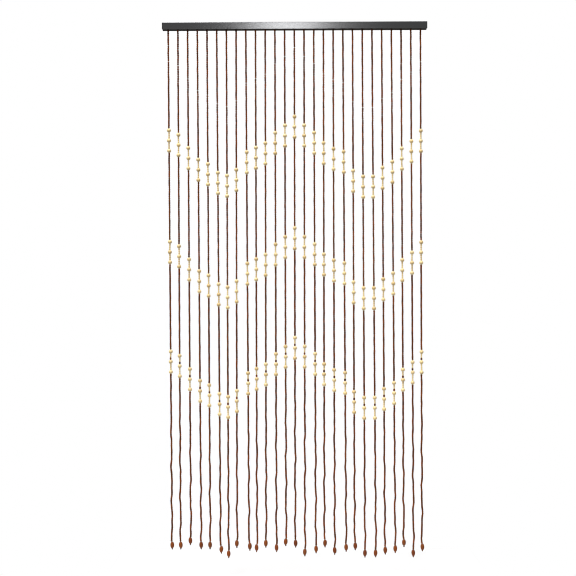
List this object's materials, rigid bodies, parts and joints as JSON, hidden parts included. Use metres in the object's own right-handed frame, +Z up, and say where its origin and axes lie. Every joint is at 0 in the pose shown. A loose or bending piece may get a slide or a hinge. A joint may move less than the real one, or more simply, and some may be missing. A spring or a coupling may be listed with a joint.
{
  "type": "bead curtain with rail",
  "caption": "Doorway curtain of wooden bead strings with groups of cream balls in a zigzag, hanging from a slim metal rail with a wooden batten.",
  "frame": {"origin": "middle of the rail's flat top face", "axes": "+X along the rail to the right as seen from the front, +Y to the back, +Z up; the strings hang towards -Z"},
  "size_m": [0.9, 0.024, 1.8198],
  "materials": {
    "rail_metal": "dark satin",
    "batten_wood": "dark stained",
    "brown_wood": "stained and waxed",
    "cream_wood": "natural, satin varnish",
    "rust_wood": "stained, satin varnish",
    "thread": "twisted thread"
  },
  "bodies": {
    "root": {"rail": "rail_metal", "strings": "brown_wood"}
  },
  "joints": []
}
